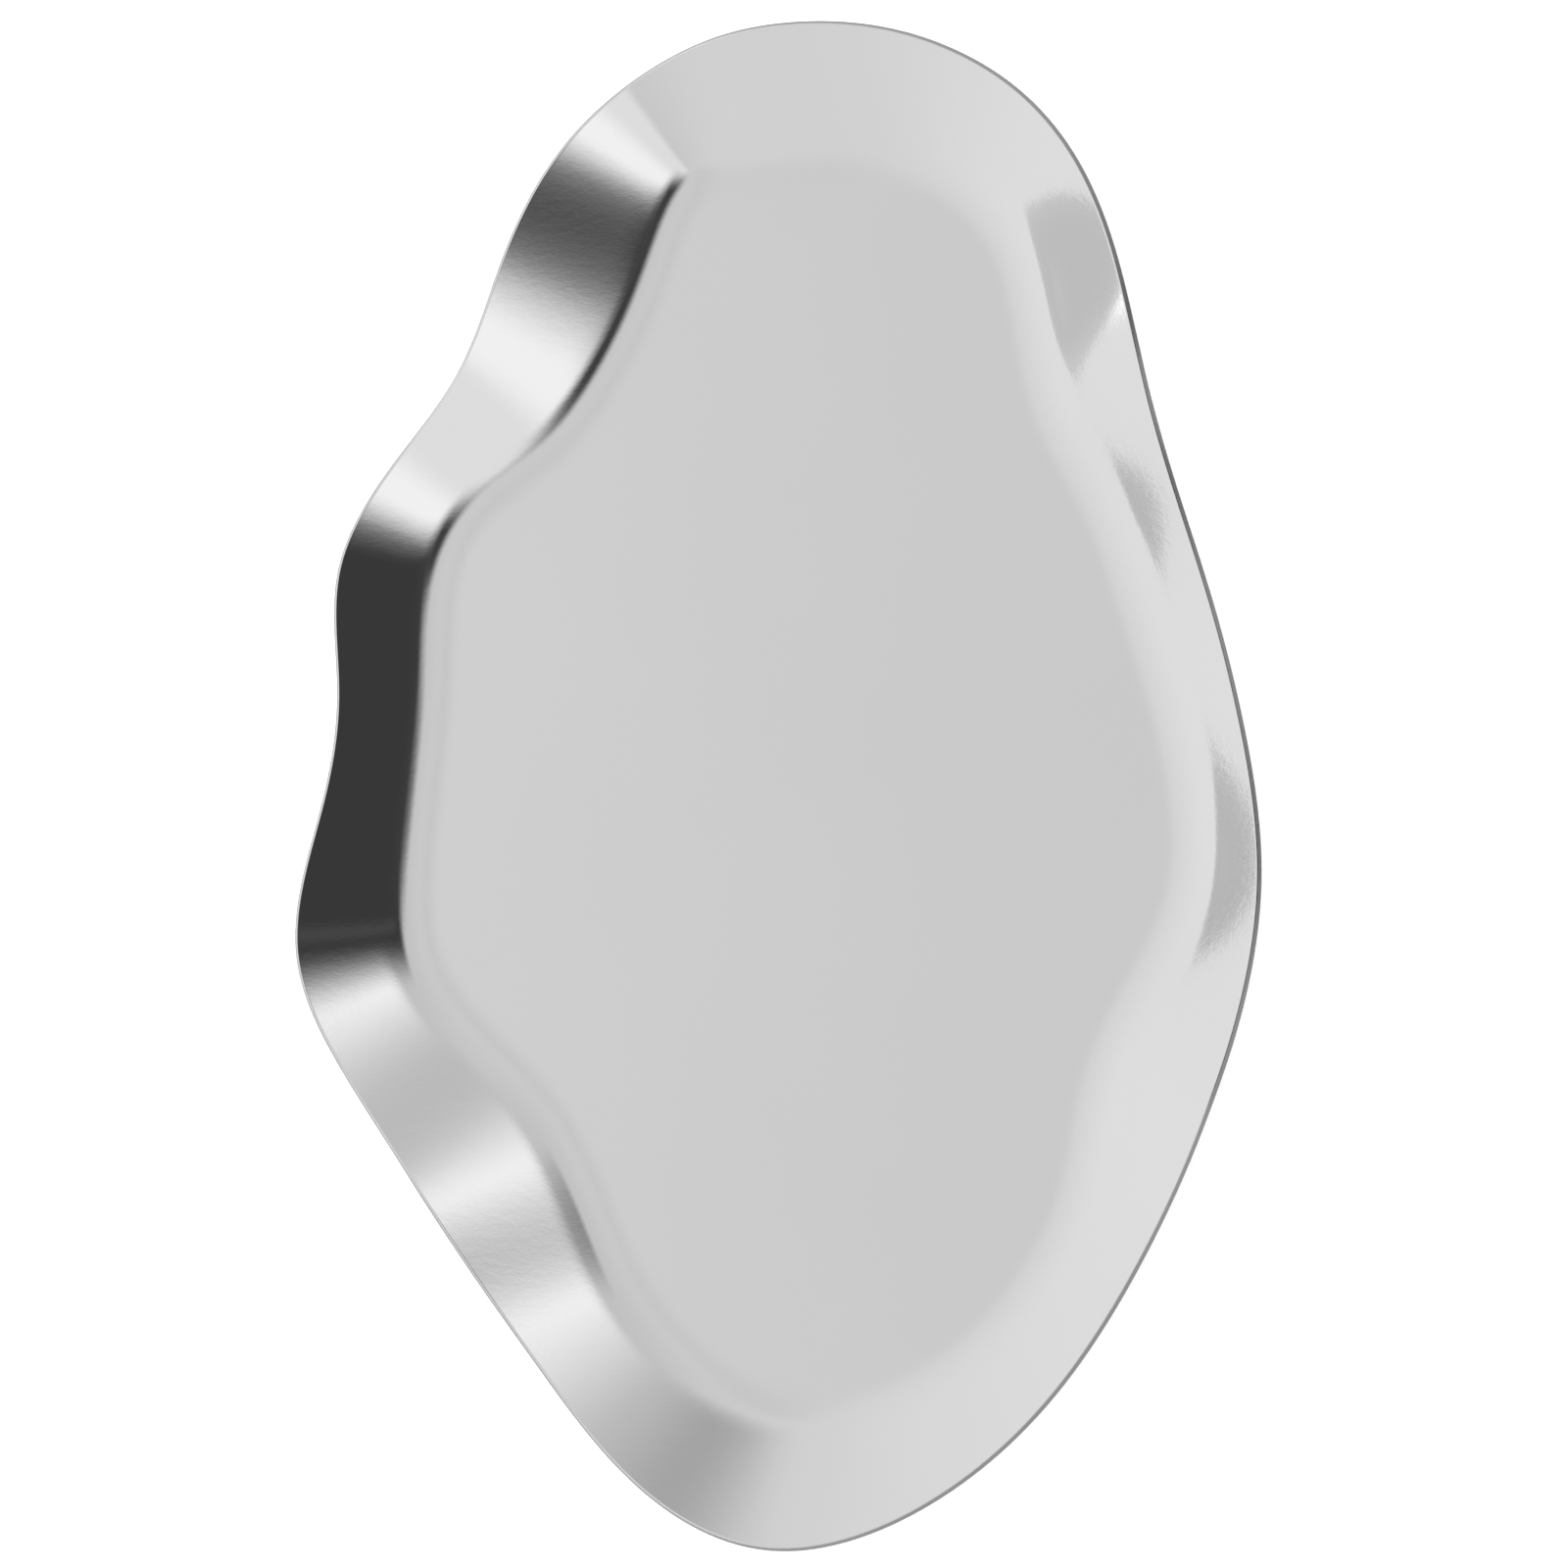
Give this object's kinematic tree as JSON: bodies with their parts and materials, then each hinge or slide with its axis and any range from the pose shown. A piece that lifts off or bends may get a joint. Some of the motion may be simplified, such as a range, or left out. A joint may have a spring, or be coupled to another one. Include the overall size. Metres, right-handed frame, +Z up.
{
  "type": "shallow free-form dish",
  "caption": "Shallow dish pressed from stainless sheet: flat floor, soft bend, flared wall and a wavy, lobed outline with a bare trimmed rim that rises and falls.",
  "frame": {"origin": "on the plane the dish stands on, under the middle of its overall outline", "axes": "+Y along the dish's length towards its wider, squarer end, +X across it towards the long smoothly curved side, +Z up out of the dish"},
  "size_m": [0.1636, 0.2492, 0.0171],
  "materials": {
    "stainless_steel": "bright rolled stainless steel, nearly mirror-like, with very fine streaks across the width; the cut edge is duller"
  },
  "bodies": {
    "root": {"dish": "stainless_steel"}
  },
  "joints": []
}
